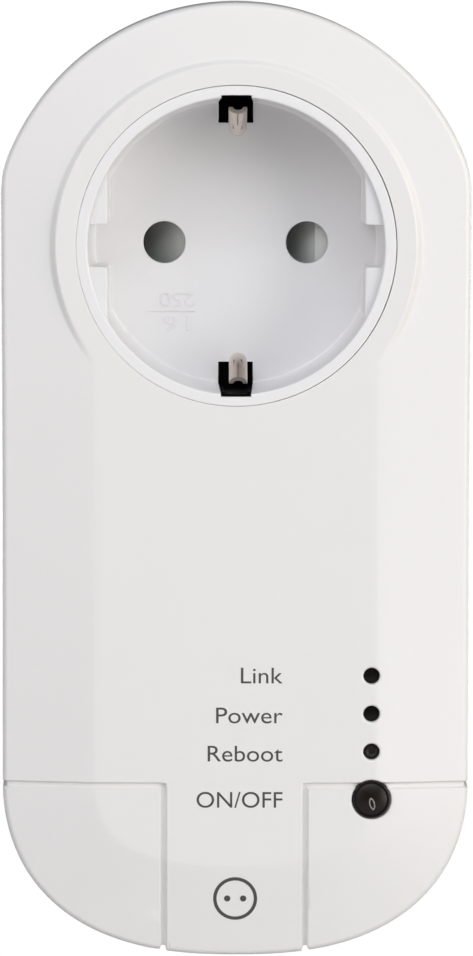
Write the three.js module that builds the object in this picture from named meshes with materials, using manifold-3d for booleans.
// Plug-in network adapter: a wall-plug housing with a pass-through side-earth socket in its face, status
// lights and two push-buttons below it, and the switching and network electronics inside.
//
// Millimetres. +Z is up, the face looks along -Y and the plug pins point along +Y. The origin is the centre of
// the plug's end face, on the common axis of plug and socket.
import * as THREE from "three";
import { mergeVertices } from "three/addons/utils/BufferGeometryUtils.js";
import Module from "manifold-3d";

const wasm = await Module();
wasm.setup();

// ---- driving dimensions ----

// Mains interface, shared by the plug behind and the socket in front.
const PIN_OFFSET = 9.5; // each pin's distance from the axis
const PIN_RADIUS = 2.4;
const PIN_LENGTH = 19;
const RECESS_RADIUS = 19.5;
const RECESS_DEPTH = 17.5;
const PLUG_RADIUS = 18.8;
const PLUG_HEIGHT = 17;
const CLIP_WIDTH = 2.5;

// Housing outline: a top arc round the socket axis, straight sides and a superelliptic foot.
const TOP_RADIUS = 32.45;
const HALF_WIDTH = 31.25;
const FOOT_CENTRE = -70.8; // where the sides end and the foot begins
const FOOT_HALF_WIDTH = 31;
const FOOT_DROP = 22.95;
const FOOT_POWER = 2.25;

// Housing depth.
const BODY_DEPTH = 40;
const WALL = 2;
const DRAFT = 0.25; // how much smaller the outline is at the face than at the seam
const Y_WALL = -PLUG_HEIGHT; // the back face, which meets the wall plate
const Y_FACE = Y_WALL - BODY_DEPTH; // the raised middle of the face
const Y_SEAM = -35; // back edge of the front shell
const SEAM_GAP = 0.3;
const SLOPE_WIDTH = 12.3; // the face falls away over this width all round
const SLOPE_DROP = 1.35;
const COLLAR_RADIUS = 23.6;
const COLLAR_FLARE = 0.9;
const GROOVE_WIDTH = 0.8;
const GROOVE_DEPTH = 0.5;
const GROOVE_OFFSET = 9.3; // the two upright grooves' distance from the middle

// Socket insert.
const RIM_RADIUS = 21;
const Y_FLOOR = Y_FACE + RECESS_DEPTH;
const FLOOR_THICKNESS = 2;
const FLOOR_RADIUS = 18.8;
const PIN_HOLE_RADIUS = 2.8;
const GUIDE_FLAT = 16.85; // the guide blocks' faces, from the middle
const GUIDE_GAP = 5.6; // the guide groove between each pair of blocks
const CLIP_SLOT = 4.6; // width of the slots that the earth clips stand in
const CLIP_SLOT_INNER = 15.9;

// Shutter behind the socket floor.
const SHUTTER_TRAVEL = 6.1;
const SHUTTER_LEFT = -12.7;
const SHUTTER_RIGHT = 13;
const SHUTTER_HALF_HEIGHT = 3.6;
const SHUTTER_THICKNESS = 6;
const Y_SHUTTER = Y_FLOOR + FLOOR_THICKNESS + 0.4;

// Circuit board and what shows through the face.
const BOARD_THICKNESS = 1.6;
const Y_BOARD = -45; // the board's front face
const Y_BOARD_BACK = Y_BOARD + BOARD_THICKNESS;
const CONTROL_X = 17.8; // the column of lights and buttons
const LINK_Z = -56.3;
const CONTROL_PITCH = 5;
const POWER_Z = LINK_Z - CONTROL_PITCH;
const REBOOT_Z = POWER_Z - CONTROL_PITCH;
const ON_OFF_Z = -72.6;
const LIGHT_HOLE_RADIUS = 1.05;
const BUTTON_HOLE_RADIUS = 2.75;
const BUTTON_RADIUS = 2.57;
const FLANGE_Y = Y_FACE + WALL + 0.8; // the flanges that hold lenses and buttons in behind the face
const BUTTON_STEM_END = Y_BOARD - 5.35;

// Screws.
const HOUSING_SCREWS = [
  [-18.4, 18.4],
  [18.4, 18.4],
  [-21.5, -79],
  [21.5, -79],
];
const BOARD_SCREWS = [
  [-22.5, -31],
  [22.5, -31],
];
const Y_SCREW_HEAD = -24;

const ROUND = 48; // sides of a large circle
const SMALL = 20; // sides of a small one

// ---- materials ----

function material(colour, roughness, metalness = 0) {
  return new THREE.MeshStandardMaterial({ color: colour, roughness, metalness });
}
const WHITE = material(0xe9e8e5, 0.35);
const INSERT_WHITE = material(0xe6e7e9, 0.45);
const BLACK = material(0x0b0b0c, 0.5);
const SMOKED = material(0x17120f, 0.12);
const SHUTTER_GREY = material(0x878a85, 0.5);
const STEEL = material(0xa79f97, 0.3, 1);
const BRASS = material(0xc9a660, 0.35, 1);
const NICKEL = material(0xc9c7c2, 0.22, 1);
const BOARD_GREEN = material(0x1d5a36, 0.45);
const RELAY_BLUE = material(0x24405e, 0.4);
const AMBER_TAPE = material(0xc08a2a, 0.4);
const DARK_SLEEVE = material(0x1c2430, 0.4);
const FILM_YELLOW = material(0xcfa52d, 0.45);
const VARISTOR_BLUE = material(0x2b5fa8, 0.4);
const BROWN = material(0x5b3420, 0.5);
const BLUE = material(0x2456a4, 0.5);

// ---- helpers ----

// A closed geometry as a solid, whichever way round its faces run.
function solid(geometry) {
  geometry.deleteAttribute("normal");
  geometry.deleteAttribute("uv");
  const merged = mergeVertices(geometry, 1e-4);
  const index = merged.index.array;
  const triangles = [];
  for (let i = 0; i < index.length; i += 3) {
    const [a, b, c] = index.slice(i, i + 3);
    if (a !== b && b !== c && c !== a) triangles.push(a, b, c);
  }
  const make = (triVerts) =>
    new wasm.Manifold(
      new wasm.Mesh({
        numProp: 3,
        vertProperties: merged.attributes.position.array,
        triVerts: new Uint32Array(triVerts),
      }),
    );
  const made = make(triangles);
  return made.volume() > 0 ? made : make(triangles.reverse());
}

function union(...solids) {
  return solids.reduce((a, b) => a.add(b));
}

function box(x0, x1, y0, y1, z0, z1) {
  const geometry = new THREE.BoxGeometry(x1 - x0, y1 - y0, z1 - z0);
  geometry.translate((x0 + x1) / 2, (y0 + y1) / 2, (z0 + z1) / 2);
  return solid(geometry);
}

// A round bar along Y.
function rod(x, z, radius, y0, y1, sides = SMALL) {
  const geometry = new THREE.CylinderGeometry(radius, radius, y1 - y0, sides);
  geometry.translate(x, (y0 + y1) / 2, z);
  return solid(geometry);
}

// A turned piece about an axis along Y, from [radius, y] points that start and end on the axis.
function turned(profile, sides = ROUND, x = 0, z = 0) {
  const points = profile.map(([radius, y]) => new THREE.Vector2(radius, y));
  const geometry = new THREE.LatheGeometry(points, sides);
  geometry.translate(x, 0, z);
  return solid(geometry);
}

// A flat shape drawn in X and Z, as thick as the stretch of Y given.
function plate(points, y0, y1) {
  const shape = new THREE.Shape(points.map(([x, z]) => new THREE.Vector2(x, z)));
  const geometry = new THREE.ExtrudeGeometry(shape, { depth: y1 - y0, bevelEnabled: false });
  geometry.rotateX(Math.PI / 2);
  geometry.translate(0, y1, 0);
  return solid(geometry);
}

// The outline of a strip of sheet bent along a path of [u, v] points.
function stripOutline(path, thickness) {
  const points = path.map(([u, v]) => new THREE.Vector2(u, v));
  const sides = [[], []];
  points.forEach((p, i) => {
    const before = points[Math.max(i - 1, 0)];
    const after = points[Math.min(i + 1, points.length - 1)];
    const a = (i > 0 ? p.clone().sub(before) : after.clone().sub(p)).normalize();
    const b = (i < points.length - 1 ? after.clone().sub(p) : a.clone()).normalize();
    const normal = new THREE.Vector2(-(a.y + b.y), a.x + b.x).normalize();
    const reach = thickness / 2 / Math.max(normal.dot(new THREE.Vector2(-a.y, a.x)), 0.5);
    sides[0].push(p.clone().addScaledVector(normal, reach));
    sides[1].unshift(p.clone().addScaledVector(normal, -reach));
  });
  return new THREE.Shape([...sides[0], ...sides[1]]);
}

// A strip bent in the Y-Z plane, from [y, z] points, centred on x.
function stripAcrossX(path, thickness, width, x = 0) {
  const geometry = new THREE.ExtrudeGeometry(stripOutline(path, thickness), {
    depth: width,
    bevelEnabled: false,
  });
  const turn = new THREE.Matrix4().set(0, 0, 1, x - width / 2, 1, 0, 0, 0, 0, 1, 0, 0, 0, 0, 0, 1);
  geometry.applyMatrix4(turn);
  return solid(geometry);
}

// A strip bent in the X-Y plane, from [x, y] points, centred on z.
function stripAcrossZ(path, thickness, width, z = 0) {
  const geometry = new THREE.ExtrudeGeometry(stripOutline(path, thickness), {
    depth: width,
    bevelEnabled: false,
  });
  geometry.translate(0, 0, z - width / 2);
  return solid(geometry);
}

// A round wire or tube along a smooth curve through the points.
function tube(points, radius, sides, steps) {
  const curve = new THREE.CatmullRomCurve3(points.map((p) => new THREE.Vector3(...p)));
  const section = new THREE.Shape();
  section.absarc(0, 0, radius, 0, 2 * Math.PI, false);
  return solid(
    new THREE.ExtrudeGeometry(section, {
      steps,
      extrudePath: curve,
      curveSegments: sides,
    }),
  );
}

// ---- housing outline ----

const FOOT_STEPS = 28;
const TOP_DIVISIONS = 12;

// The housing's outline, drawn in from the outside by the inset.
function outlinePoints(inset) {
  const radius = TOP_RADIUS - inset;
  const shoulder = Math.acos((HALF_WIDTH - inset) / radius);
  const shape = new THREE.Shape();
  shape.absarc(0, 0, radius, shoulder, Math.PI - shoulder, false);
  const power = 2 / FOOT_POWER;
  for (let i = 0; i <= FOOT_STEPS; i++) {
    const angle = Math.PI * (1 + i / FOOT_STEPS);
    const [c, s] = [Math.cos(angle), Math.abs(Math.sin(angle))];
    const x = (FOOT_HALF_WIDTH - inset) * Math.sign(c) * Math.abs(c) ** power;
    shape.lineTo(x, FOOT_CENTRE - (FOOT_DROP - inset) * s ** power);
  }
  return shape.getPoints(TOP_DIVISIONS);
}

// A solid through outlines of given [inset, y].
function loft(levels) {
  const rings = levels.map(([inset]) => outlinePoints(inset));
  const count = rings[0].length;
  const positions = rings.flatMap((ring, i) => ring.flatMap((p) => [p.x, levels[i][1], p.y]));
  const index = [];
  for (let level = 0; level < levels.length - 1; level++) {
    for (let i = 0; i < count; i++) {
      const j = (i + 1) % count;
      const [a, b] = [level * count + i, level * count + j];
      index.push(a, b, b + count, a, b + count, a + count);
    }
  }
  const last = (levels.length - 1) * count;
  for (const [a, b, c] of THREE.ShapeUtils.triangulateShape(rings[0], [])) index.push(c, b, a);
  for (const [a, b, c] of THREE.ShapeUtils.triangulateShape(rings.at(-1), []))
    index.push(last + a, last + b, last + c);
  const geometry = new THREE.BufferGeometry();
  geometry.setAttribute("position", new THREE.Float32BufferAttribute(positions, 3));
  geometry.setIndex(index);
  return solid(geometry);
}

// ---- front shell ----

const EDGE_Y = Y_FACE + SLOPE_DROP; // the face's level where it meets the sides

// The front shell's outer form, shrunk by the inset and set back by the same amount.
function faceForm(inset, yBack) {
  return loft([
    [inset, yBack],
    [inset + DRAFT, EDGE_Y + 1 + inset],
    [inset + DRAFT + 0.25, EDGE_Y + 0.35 + inset],
    [inset + DRAFT + 0.9, EDGE_Y - 0.08 + inset],
    [SLOPE_WIDTH + inset * 0.2, Y_FACE + inset],
  ]);
}

function collar() {
  const [inner, outer] = [COLLAR_RADIUS, COLLAR_RADIUS + COLLAR_FLARE];
  return turned([
    [0, Y_FACE],
    [inner, Y_FACE],
    [inner + 0.45, Y_FACE + 0.2],
    [outer, Y_FACE + 0.75],
    [outer, Y_FACE + WALL],
    [0, Y_FACE + WALL],
  ]);
}

// Shallow grooves that set off the two lower corners of the face.
function grooves() {
  const deep = faceForm(GROOVE_DEPTH, Y_SEAM + 1);
  const half = GROOVE_WIDTH / 2;
  const reach = HALF_WIDTH + 1;
  const bottom = FOOT_CENTRE - FOOT_DROP - 1;
  const cuts = [-1, 1].map((side) => {
    const inner = side * GROOVE_OFFSET;
    const [x0, x1] = side < 0 ? [-reach, inner + half] : [inner - half, reach];
    const [y0, y1] = [Y_FACE - 1, Y_SEAM + 1];
    const across = box(x0, x1, y0, y1, FOOT_CENTRE - half, FOOT_CENTRE + half);
    const down = box(inner - half, inner + half, y0, y1, bottom, FOOT_CENTRE);
    return across.add(down);
  });
  return union(...cuts).subtract(deep);
}

function frontShell() {
  const outer = faceForm(0, Y_SEAM).add(collar());
  const hollow = faceForm(WALL, Y_SEAM + 1);
  const socketTube = rod(0, 0, RIM_RADIUS + 2.2, Y_FACE + 1, Y_BOARD + 1, ROUND);
  const screwBosses = HOUSING_SCREWS.map(([x, z]) => rod(x, z, 2.7, Y_FACE + 1, -38));
  const boardPosts = BOARD_SCREWS.map(([x, z]) => rod(x, z, 2.4, Y_FACE + 1, Y_BOARD - 0.1));
  const inside = union(socketTube, ...screwBosses, ...boardPosts).intersect(outer);
  const openings = union(
    rod(0, 0, RIM_RADIUS + 0.25, Y_FACE - 1, Y_SEAM, ROUND),
    rod(CONTROL_X, LINK_Z, LIGHT_HOLE_RADIUS, Y_FACE - 1, Y_FACE + 5),
    rod(CONTROL_X, POWER_Z, LIGHT_HOLE_RADIUS, Y_FACE - 1, Y_FACE + 5),
    rod(CONTROL_X, REBOOT_Z, LIGHT_HOLE_RADIUS, Y_FACE - 1, Y_FACE + 5),
    rod(CONTROL_X, ON_OFF_Z, BUTTON_HOLE_RADIUS, Y_FACE - 1, Y_FACE + 5),
    ...HOUSING_SCREWS.map(([x, z]) => rod(x, z, 1.6, -52, -30, 12)),
    ...BOARD_SCREWS.map(([x, z]) => rod(x, z, 1.2, -52, -30, 12)),
  );
  return outer.subtract(hollow).add(inside).subtract(openings).subtract(grooves());
}

// ---- rear shell ----

function rearForm(inset, yFront, yBack) {
  return loft([
    [inset, yFront],
    [inset + 0.5, yBack - 2.2],
    [inset + 1, yBack - 0.8],
    [inset + 2.2, yBack],
  ]);
}

function rearShell() {
  const front = Y_SEAM + SEAM_GAP;
  const tray = rearForm(0, front, Y_WALL).subtract(rearForm(WALL, front - 1, Y_WALL - WALL));
  const lip = loft([
    [WALL + 0.3, front - 2.6],
    [WALL + 0.3, front + 1],
  ]).subtract(
    loft([
      [WALL + 1.3, front - 3],
      [WALL + 1.3, front + 2],
    ]),
  );
  const lipJoin = loft([
    [WALL - 0.5, front + 0.2],
    [WALL - 0.5, front + 2],
  ]).subtract(
    loft([
      [WALL + 1.3, front],
      [WALL + 1.3, front + 3],
    ]),
  );
  const outer = rearForm(0, front, Y_WALL);
  const pillars = HOUSING_SCREWS.map(([x, z]) => rod(x, z, 3.9, -37.7, Y_WALL));
  const room = loft([
    [WALL + 0.3, -40],
    [WALL + 0.3, front],
  ]);
  const openings = union(
    rod(0, 0, PLUG_RADIUS + 0.3, Y_WALL - 5, Y_WALL + 1, ROUND),
    ...HOUSING_SCREWS.map(([x, z]) => rod(x, z, 1.8, -40, Y_WALL)),
    ...HOUSING_SCREWS.map(([x, z]) => rod(x, z, 2.9, Y_SCREW_HEAD, Y_WALL + 1)),
  );
  const pillarsInside = union(...pillars).intersect(room.add(outer));
  return union(tray, lip, lipJoin, pillarsInside).subtract(openings);
}

// ---- socket ----

function socketInsert() {
  const back = Y_FLOOR + FLOOR_THICKNESS;
  const cup = turned([
    [0, Y_FLOOR],
    [FLOOR_RADIUS - 0.6, Y_FLOOR],
    [FLOOR_RADIUS, Y_FLOOR - 0.6],
    [RECESS_RADIUS - 0.1, Y_FACE + 0.5],
    [RECESS_RADIUS + 0.2, Y_FACE],
    [RIM_RADIUS, Y_FACE],
    [RIM_RADIUS, Y_FACE + 4],
    [RIM_RADIUS - 0.4, back],
    [0, back],
  ]);
  const clear = rod(0, 0, RIM_RADIUS - 1, Y_FACE + 0.7, back, ROUND);
  const blocks = [-1, 1].flatMap((side) =>
    [-1, 1].map((end) => {
      const [x0, x1] = side < 0 ? [-RIM_RADIUS, -GUIDE_FLAT] : [GUIDE_FLAT, RIM_RADIUS];
      const [z0, z1] = end < 0 ? [-15, -GUIDE_GAP / 2] : [GUIDE_GAP / 2, 15];
      return box(x0, x1, Y_FACE + 0.7, back - 0.5, z0, z1);
    }),
  );
  const slots = [-1, 1].map((end) => {
    const [z0, z1] = end < 0 ? [-20.4, -CLIP_SLOT_INNER] : [CLIP_SLOT_INNER, 20.4];
    return box(-CLIP_SLOT / 2, CLIP_SLOT / 2, Y_FACE + 1.2, back + 1, z0, z1);
  });
  const pinHoles = [-PIN_OFFSET, PIN_OFFSET].map((x) =>
    rod(x, 0, PIN_HOLE_RADIUS, Y_FLOOR - 1, back + 1, 28),
  );
  return cup.add(union(...blocks).intersect(clear)).subtract(union(...slots, ...pinHoles));
}

// The sliding shutter. Two ramps face the pin holes, so that two pins pressed in together push it along +X
// until its left end and its window clear the holes.
function socketShutter() {
  const [y0, y1] = [Y_SHUTTER, Y_SHUTTER + SHUTTER_THICKNESS];
  const half = SHUTTER_HALF_HEIGHT;
  const side = new THREE.Shape(
    [
      [SHUTTER_LEFT, y1 - 0.8],
      [-6.9, y0],
      [6.2, y0],
      [6.2, y1 - 1.6],
      [6.9, y1 - 1.6],
      [10.6, y0 + 0.6],
      [10.6, y0],
      [SHUTTER_RIGHT, y0],
      [SHUTTER_RIGHT, y1],
      [SHUTTER_LEFT, y1],
    ].map(([x, y]) => new THREE.Vector2(x, y)),
  );
  const geometry = new THREE.ExtrudeGeometry(side, { depth: 2 * half, bevelEnabled: false });
  geometry.translate(0, 0, -half);
  const window = box(0.3, 6.3, y0 - 1, y1 + 1, -2.95, 2.95);
  const lug = box(-11.5, -9.7, y0 + 1.6, y0 + 4.8, half - 0.5, 7);
  return solid(geometry).subtract(window).add(lug);
}

const SPRING_START = -9.6;
const SPRING_END = 5.2;
const SPRING_RADIUS = 1.25;
const SPRING_WIRE = 0.22;
const SPRING_TURNS = 8;
const SPRING_Z = 5.5;
const SPRING_Y = Y_SHUTTER + 3.2;

function shutterSpring() {
  const steps = SPRING_TURNS * 9;
  const points = [];
  for (let i = 0; i <= steps; i++) {
    const turn = (i / steps) * SPRING_TURNS * 2 * Math.PI;
    const [c, s] = [Math.cos(turn), Math.sin(turn)];
    const x = THREE.MathUtils.lerp(SPRING_START + 0.3, SPRING_END - 0.3, i / steps);
    points.push([x, SPRING_Y + SPRING_RADIUS * c, SPRING_Z + SPRING_RADIUS * s]);
  }
  return tube(points, SPRING_WIRE, 3, steps);
}

// The black carrier behind the socket floor: it guides the shutter, holds the contacts, and reaches
// forward through the earth slots with a channel behind each earth clip.
const CARRIER_RADIUS = 19.8;
const CARRIER_BACK = -23.6;
const SHROUD_HALF = 1.85;
const SHROUD_INNER = 19.5;
const SHROUD_OUTER = 20.1;

function contactCarrier() {
  const front = Y_FLOOR + FLOOR_THICKNESS + 0.2;
  const body = rod(0, 0, CARRIER_RADIUS, front, CARRIER_BACK, 40);
  const shutterBack = Y_SHUTTER + SHUTTER_THICKNESS + 0.2;
  const half = SHUTTER_HALF_HEIGHT + 0.2;
  const shutterRoom = box(SHUTTER_LEFT - 0.3, RIM_RADIUS, front - 1, shutterBack, -half, half);
  const springRoom = box(SHUTTER_LEFT, SPRING_END, front - 1, Y_SHUTTER + 5, half - 1, 7.3);
  const pockets = [-PIN_OFFSET, PIN_OFFSET].map((x) =>
    box(x - 3.4, x + 3.4, shutterBack - 1, CARRIER_BACK + 1, -3.8, 3.8),
  );
  const clipSlots = [-1, 1].map((end) => {
    const [z0, z1] = end < 0 ? [-SHROUD_INNER, -CLIP_SLOT_INNER] : [CLIP_SLOT_INNER, SHROUD_INNER];
    return box(-2.8, 2.8, front - 1, CARRIER_BACK + 1, z0, z1);
  });
  const shrouds = [-1, 1].map((end) => {
    const [z0, z1] = end < 0 ? [-SHROUD_OUTER, -19.2] : [19.2, SHROUD_OUTER];
    return box(-SHROUD_HALF, SHROUD_HALF, Y_FACE + 2, front + 3, z0, z1);
  });
  const channels = [-1, 1].map((end) => {
    const [z0, z1] = end < 0 ? [-SHROUD_INNER, -19] : [19, SHROUD_INNER];
    return box(0.25 - SHROUD_HALF, SHROUD_HALF - 0.25, Y_FACE, front + 4, z0, z1);
  });
  const cuts = union(shutterRoom, springRoom, ...pockets, ...clipSlots, ...channels);
  return body.add(union(...shrouds)).subtract(cuts);
}

// A contact that grips one pin between two bowed leaves.
function pinContact(x) {
  const [y0, y1] = [-30.2, -24.4];
  const leaf = (end) =>
    stripAcrossX(
      [
        [y0, end * 2.9],
        [(y0 + y1) / 2, end * 2.2],
        [y1, end * 3],
        [y1 + 1, end * 3],
      ],
      0.5,
      5,
      x,
    );
  const yoke = box(x - 3.2, x + 3.2, y1 + 0.4, y1 + 1, -3.3, 3.3);
  return union(leaf(-1), leaf(1), yoke).subtract(rod(x, 0, PIN_RADIUS + 0.2, y0, y1 + 2));
}

// The socket's earth bracket: one strip, with a sprung clip at each end that bows in towards the axis.
const BRACKET_Y = -22.6;

function clipPath(end) {
  return [
    [-40, 17.2],
    [-42.5, 16.4],
    [-46.5, 14.75],
    [-48.3, 14.55],
    [-50, 14.95],
    [-53.4, 18.1],
  ].map(([y, r]) => [y, end * r]);
}

function earthBracket() {
  const base = stripAcrossX(
    [
      [-40.3, -17.2],
      [BRACKET_Y, -17.2],
      [BRACKET_Y, 17.2],
      [-40.3, 17.2],
    ],
    0.6,
    4,
  );
  const clips = [-1, 1].map((end) => stripAcrossX(clipPath(end), 0.5, CLIP_WIDTH));
  const rivetHole = rod(0, 0, 1.5, BRACKET_Y - 1, BRACKET_Y + 1);
  return union(base, ...clips).subtract(rivetHole);
}

// ---- plug ----

const PLUG_FLAT = 16.4;
const PLUG_RIB = 5.1;
const NOTCH_FLOOR = 15.2;
const STRAP_Y = -21.65;

function plugBase() {
  const flangeBack = -21.2;
  const body = turned([
    [0, 0],
    [PLUG_RADIUS - 1, 0],
    [PLUG_RADIUS, -1],
    [PLUG_RADIUS, Y_WALL - WALL - 0.3],
    [RIM_RADIUS, Y_WALL - WALL - 0.3],
    [RIM_RADIUS, flangeBack],
    [0, flangeBack],
  ]);
  const flats = [-1, 1].flatMap((side) =>
    [-1, 1].map((end) => {
      const [x0, x1] = side < 0 ? [-20, -PLUG_FLAT] : [PLUG_FLAT, 20];
      const [z0, z1] = end < 0 ? [-20, -PLUG_RIB / 2] : [PLUG_RIB / 2, 20];
      return box(x0, x1, Y_WALL, 1, z0, z1);
    }),
  );
  const notches = [-1, 1].map((end) => {
    const [z0, z1] = end < 0 ? [-20, -NOTCH_FLOOR] : [NOTCH_FLOOR, 20];
    return box(-4, 4, Y_WALL + 1.2, 1, z0, z1);
  });
  const strapSlots = [-1, 1].map((end) => {
    const [z0, z1] = end < 0 ? [-16.3, -NOTCH_FLOOR] : [NOTCH_FLOOR, 16.3];
    return box(-3.2, 3.2, flangeBack - 1, Y_WALL + 2, z0, z1);
  });
  const cavity = rod(0, 0, 13.7, flangeBack - 1, -4, 36);
  const pinHoles = [-PIN_OFFSET, PIN_OFFSET].map((x) => rod(x, 0, PIN_RADIUS + 0.1, -5, 1, 24));
  const wireWays = [-1, 1].map((side) => {
    const [x0, x1] = side < 0 ? [-13.3, -6.3] : [6.3, 13.3];
    const ramp = box(x0, x1, flangeBack - 1, -16.6, -11.8, -5);
    return ramp.add(box(x0, x1, flangeBack - 1, Y_WALL - WALL - 0.1, -22, -5));
  });
  return body.subtract(union(...flats, ...notches, ...strapSlots, cavity, ...pinHoles, ...wireWays));
}

function plugPin(x) {
  return turned(
    [
      [0, PIN_LENGTH],
      [1.1, PIN_LENGTH],
      [1.9, PIN_LENGTH - 0.5],
      [PIN_RADIUS, PIN_LENGTH - 1.8],
      [PIN_RADIUS, -4.2],
      [1.6, -4.2],
      [1.6, -6.4],
      [0, -6.4],
    ],
    24,
    x,
  );
}

// The plug's earth strap: a contact strip in each notch, joined across the inside.
function plugEarthStrap() {
  const radius = 15.75;
  const strap = stripAcrossX(
    [
      [-1.2, -radius],
      [STRAP_Y, -radius],
      [STRAP_Y, radius],
      [-1.2, radius],
    ],
    0.5,
    6,
  );
  return strap.subtract(rod(0, 0, 1.5, STRAP_Y - 1, STRAP_Y + 1));
}

function earthRivet() {
  return turned(
    [
      [0, -23.4],
      [2.2, -23.4],
      [2.2, -23],
      [1.3, -23],
      [1.3, -21.3],
      [2.2, -21.3],
      [2.2, -20.8],
      [0, -20.8],
    ],
    SMALL,
  );
}

// A strip from a plug pin's riveted end up one side of the plug's cavity.
function busbar(side, yEnd) {
  const strip = stripAcrossZ(
    [
      [side * 7, -4.9],
      [side * 12.6, -4.9],
      [side * 12.6, yEnd],
    ],
    0.7,
    5,
  );
  return strip.subtract(rod(side * PIN_OFFSET, 0, 1.7, -6, -4));
}

// ---- electronics ----

const RELAY = { x: -17.5, z: -48, width: 12.7, length: 29, height: 15.7 };
const TRANSFORMER = { x: 2, z: -51, width: 16, length: 17, height: 15 };
const CAPACITORS = [
  [18.5, -47],
  [18.5, -60],
];

function mainBoard() {
  const outline = [
    [-27, -26],
    [-27, -76],
    [-18, -76],
    [-18, -87],
    [18, -87],
    [18, -76],
    [27, -76],
    [27, -26],
  ];
  const board = plate(outline, Y_BOARD, Y_BOARD_BACK);
  const holes = BOARD_SCREWS.map(([x, z]) => rod(x, z, 1.5, Y_BOARD - 1, Y_BOARD_BACK + 1, 12));
  return board.subtract(union(...holes));
}

// A block-shaped component on the back of the board, standing on four feet at its corners.
function backBlock({ x, z, width, length, height, corner = 0.6 }) {
  const [y0, y1] = [Y_BOARD_BACK + 0.1, Y_BOARD_BACK + height];
  const [w, l] = [width / 2, length / 2];
  const outline = new THREE.Shape();
  outline.absarc(x + w - corner, z + l - corner, corner, 0, Math.PI / 2, false);
  outline.absarc(x - w + corner, z + l - corner, corner, Math.PI / 2, Math.PI, false);
  outline.absarc(x - w + corner, z - l + corner, corner, Math.PI, 1.5 * Math.PI, false);
  outline.absarc(x + w - corner, z - l + corner, corner, 1.5 * Math.PI, 2 * Math.PI, false);
  const block = plate(
    outline.getPoints(3).map((p) => [p.x, p.y]),
    y0,
    y1,
  );
  const [u, v] = [w - 1.2, l - 1.2];
  const spaces = box(x - u, x + u, y0 - 1, y0 + 0.4, z - l - 1, z + l + 1).add(
    box(x - w - 1, x + w + 1, y0 - 1, y0 + 0.4, z - v, z + v),
  );
  return block.subtract(spaces);
}

function transformer() {
  const { x, z, width, length, height } = TRANSFORMER;
  const [y0, y1] = [Y_BOARD_BACK + 0.1, Y_BOARD_BACK + height];
  const bobbin = box(x - width / 2, x + width / 2, y0, y0 + 2.5, z - length / 2, z + length / 2);
  const winding = box(x - 5.5, x + 5.5, y0 + 2, y1 - 1, z - 6.2, z + 6.2);
  const core = box(x - 2.5, x + 2.5, y0 + 2, y1, z - length / 2, z + length / 2);
  const legs = box(x - width / 2, x + width / 2, y0 + 5, y1 - 2.5, z - 4, z + 4);
  return union(bobbin, winding, core, legs);
}

function electrolyticCapacitor([x, z]) {
  const [y0, y1] = [Y_BOARD_BACK + 0.1, Y_BOARD_BACK + 16];
  return turned(
    [
      [0, y0],
      [4.7, y0],
      [5, y0 + 0.5],
      [5, y0 + 1.4],
      [4.75, y0 + 1.8],
      [5, y0 + 2.2],
      [5, y1 - 0.5],
      [4.6, y1],
      [0, y1],
    ],
    24,
    x,
    z,
  );
}

function fuse() {
  return turned(
    [
      [0, Y_BOARD_BACK + 0.1],
      [4.1, Y_BOARD_BACK + 0.1],
      [4.25, Y_BOARD_BACK + 0.4],
      [4.25, Y_BOARD_BACK + 7.5],
      [3.8, Y_BOARD_BACK + 8],
      [0, Y_BOARD_BACK + 8],
    ],
    SMALL,
    10.5,
    -68,
  );
}

function varistor() {
  const disc = new THREE.CylinderGeometry(5, 5, 4, SMALL);
  disc.translate(0, 0, 0);
  disc.rotateZ(Math.PI / 2);
  disc.translate(-3, Y_BOARD_BACK + 6.6, -70);
  const leads = box(-3.4, -2.6, Y_BOARD_BACK + 0.1, Y_BOARD_BACK + 3, -73, -67);
  return solid(disc).add(leads);
}

// The network module's little board, with its printed aerial at the lower end.
function networkModule() {
  return box(-24, -6, Y_BOARD - 0.9, Y_BOARD - 0.1, -70, -44.5);
}

function shieldCan() {
  const top = Y_BOARD - 3.2;
  const can = box(-23, -7, top, Y_BOARD - 1, -62, -45.5);
  return can.subtract(box(-22.7, -7.3, top + 0.3, Y_BOARD, -61.7, -45.8));
}

function lightEmitter(z) {
  return turned(
    [
      [0, Y_BOARD - 0.1],
      [1.9, Y_BOARD - 0.1],
      [1.9, Y_BOARD - 1.1],
      [1.5, Y_BOARD - 1.1],
      [1.5, Y_BOARD - 3.8],
      [1.1, Y_BOARD - 4.8],
      [0, Y_BOARD - 5.2],
    ],
    SMALL,
    CONTROL_X,
    z,
  );
}

// The dark lens between a light and its hole in the face, flanged behind the face.
function lightLens(z) {
  return turned(
    [
      [0, Y_BOARD - 5.5],
      [1.7, Y_BOARD - 5.5],
      [1.7, FLANGE_Y],
      [0.93, FLANGE_Y],
      [0.93, Y_FACE + 0.6],
      [0.7, Y_FACE + 0.45],
      [0, Y_FACE + 0.38],
    ],
    SMALL,
    CONTROL_X,
    z,
  );
}

function tactSwitch(z) {
  const half = 3;
  const [x0, x1] = [CONTROL_X - half, CONTROL_X + half];
  const height = z === REBOOT_Z ? 2 : half;
  const body = box(x0, x1, Y_BOARD - 3.5, Y_BOARD - 0.1, z - height, z + height);
  return body.subtract(rod(CONTROL_X, z, 1.75, Y_BOARD - 4, Y_BOARD - 1.5));
}

function tactPlunger(z) {
  return rod(CONTROL_X, z, 1.6, Y_BOARD - 5, Y_BOARD - 2.2);
}

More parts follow.
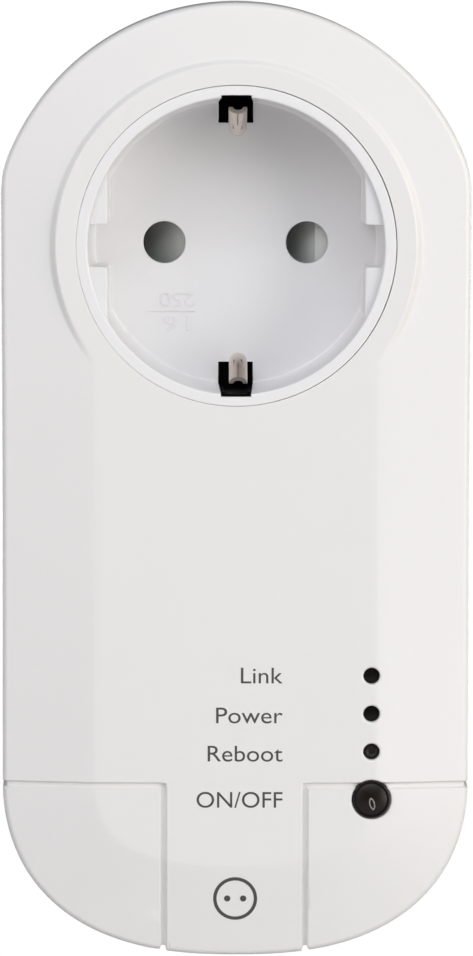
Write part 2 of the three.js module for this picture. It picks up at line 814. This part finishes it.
function onOffButton() {
  const proud = Y_FACE - 0.25;
  return turned(
    [
      [0, proud + 0.12],
      [1.9, proud + 0.02],
      [2.2, proud],
      [BUTTON_RADIUS, proud + 0.4],
      [BUTTON_RADIUS, FLANGE_Y],
      [3.4, FLANGE_Y],
      [3.4, FLANGE_Y + 1],
      [1.5, FLANGE_Y + 1],
      [1.5, BUTTON_STEM_END],
      [0, BUTTON_STEM_END],
    ],
    28,
    CONTROL_X,
    ON_OFF_Z,
  );
}

function rebootButton() {
  return turned(
    [
      [0, Y_FACE + 0.7],
      [0.7, Y_FACE + 0.7],
      [0.85, Y_FACE + 0.85],
      [0.85, FLANGE_Y],
      [1.7, FLANGE_Y],
      [1.7, FLANGE_Y + 0.8],
      [0.85, FLANGE_Y + 0.8],
      [0.85, BUTTON_STEM_END],
      [0, BUTTON_STEM_END],
    ],
    SMALL,
    CONTROL_X,
    REBOOT_Z,
  );
}

// ---- screws and wires ----

function panScrew([x, z], headY, length, radius, headRadius, headHeight) {
  const screw = turned(
    [
      [0, headY - length],
      [radius * 0.4, headY - length],
      [radius, headY - length + 2],
      [radius, headY + 0.1],
      [headRadius, headY + 0.1],
      [headRadius, headY + headHeight * 0.6],
      [headRadius * 0.7, headY + headHeight],
      [0, headY + headHeight],
    ],
    16,
    x,
    z,
  );
  const slot = [
    box(x - headRadius * 0.6, x + headRadius * 0.6, headY + headHeight * 0.4, headY + 5, z - 0.35, z + 0.35),
    box(x - 0.35, x + 0.35, headY + headHeight * 0.4, headY + 5, z - headRadius * 0.6, z + headRadius * 0.6),
  ];
  return screw.subtract(union(...slot));
}

const WIRE_RADIUS = 1;

function wire(points) {
  return tube(points, WIRE_RADIUS, 4, 26);
}

// From the line pin's busbar, out of the plug's cavity and forward to the board.
const WIRE_LINE_IN = [
  [10.8, -18.2, -4],
  [10.8, -19.6, -8],
  [10.8, -20.9, -13],
  [10.8, -21.3, -20],
  [10.8, -23.5, -25.5],
  [9.5, -31, -29],
  [8.5, -42.4, -30],
];
// From the board back to the socket's line contact.
const WIRE_LINE_OUT = [
  [8, -22.3, -3.6],
  [8, -22.4, -9],
  [7.9, -22.4, -15],
  [7, -22.4, -20.5],
  [4, -26, -26],
  [1, -33, -29.5],
  [0, -42.4, -30.5],
];
// From the neutral busbar to the board.
const WIRE_NEUTRAL = [
  [-10.8, -18.2, -4],
  [-10.8, -19.6, -8],
  [-10.8, -20.9, -13],
  [-10.8, -21.3, -20],
  [-10.5, -23.5, -25],
  [-9, -31, -28.5],
  [-7.5, -42.4, -29.5],
];

// ---- assembly ----

const adapter = new THREE.Group();

function add(name, shape, look) {
  const { numProp, vertProperties, triVerts } = shape.getMesh();
  const positions = new Float32Array((vertProperties.length / numProp) * 3);
  for (let i = 0; i < positions.length / 3; i++)
    positions.set(vertProperties.subarray(i * numProp, i * numProp + 3), i * 3);
  const geometry = new THREE.BufferGeometry();
  geometry.setAttribute("position", new THREE.BufferAttribute(positions, 3));
  geometry.setIndex(new THREE.BufferAttribute(triVerts, 1));
  geometry.computeVertexNormals();
  const mesh = new THREE.Mesh(geometry, look);
  mesh.name = name;
  adapter.add(mesh);
}

add("front_shell", frontShell(), WHITE);
add("rear_shell", rearShell(), WHITE);

add("socket_insert", socketInsert(), INSERT_WHITE);
add("socket_shutter", socketShutter(), SHUTTER_GREY);
add("shutter_spring", shutterSpring(), STEEL);
add("contact_carrier", contactCarrier(), BLACK);
add("line_contact", pinContact(PIN_OFFSET), BRASS);
add("neutral_contact", pinContact(-PIN_OFFSET), BRASS);
add("earth_bracket", earthBracket(), STEEL);

add("plug_base", plugBase(), WHITE);
add("line_pin", plugPin(PIN_OFFSET), NICKEL);
add("neutral_pin", plugPin(-PIN_OFFSET), NICKEL);
add("plug_earth_strap", plugEarthStrap(), NICKEL);
add("earth_rivet", earthRivet(), STEEL);
add("line_busbar", busbar(1, -16.5), BRASS);
add("neutral_busbar", busbar(-1, -22.4), BRASS);

add("main_board", mainBoard(), BOARD_GREEN);
add("relay", backBlock(RELAY), RELAY_BLUE);
add("transformer", transformer(), AMBER_TAPE);
CAPACITORS.forEach((at, i) =>
  add(`electrolytic_capacitor_${i + 1}`, electrolyticCapacitor(at), DARK_SLEEVE),
);
add(
  "film_capacitor",
  backBlock({ x: 6, z: -37, width: 18, length: 7, height: 13 }),
  FILM_YELLOW,
);
add(
  "bridge_rectifier",
  backBlock({ x: -3, z: -81, width: 9, length: 6.5, height: 3.2 }),
  BLACK,
);
add("fuse", fuse(), BROWN);
add("varistor", varistor(), VARISTOR_BLUE);
add("network_module", networkModule(), BOARD_GREEN);
add("shield_can", shieldCan(), NICKEL);
add("link_light", lightEmitter(LINK_Z), SMOKED);
add("power_light", lightEmitter(POWER_Z), SMOKED);
add("link_lens", lightLens(LINK_Z), SMOKED);
add("power_lens", lightLens(POWER_Z), SMOKED);

add("on_off_switch", tactSwitch(ON_OFF_Z), BLACK);
add("on_off_plunger", tactPlunger(ON_OFF_Z), BLACK);
add("on_off_button", onOffButton(), SMOKED);
add("reboot_switch", tactSwitch(REBOOT_Z), BLACK);
add("reboot_plunger", tactPlunger(REBOOT_Z), BLACK);
add("reboot_button", rebootButton(), BLACK);

HOUSING_SCREWS.forEach((at, i) =>
  add(`housing_screw_${i + 1}`, panScrew(at, Y_SCREW_HEAD, 20, 1.45, 2.6, 2), STEEL),
);
BOARD_SCREWS.forEach((at, i) =>
  add(`board_screw_${i + 1}`, panScrew(at, Y_BOARD_BACK, 7, 1.05, 2.1, 1.5), STEEL),
);
add("wire_line_in", wire(WIRE_LINE_IN), BROWN);
add("wire_line_out", wire(WIRE_LINE_OUT), BLACK);
add("wire_neutral", wire(WIRE_NEUTRAL), BLUE);

export default adapter;
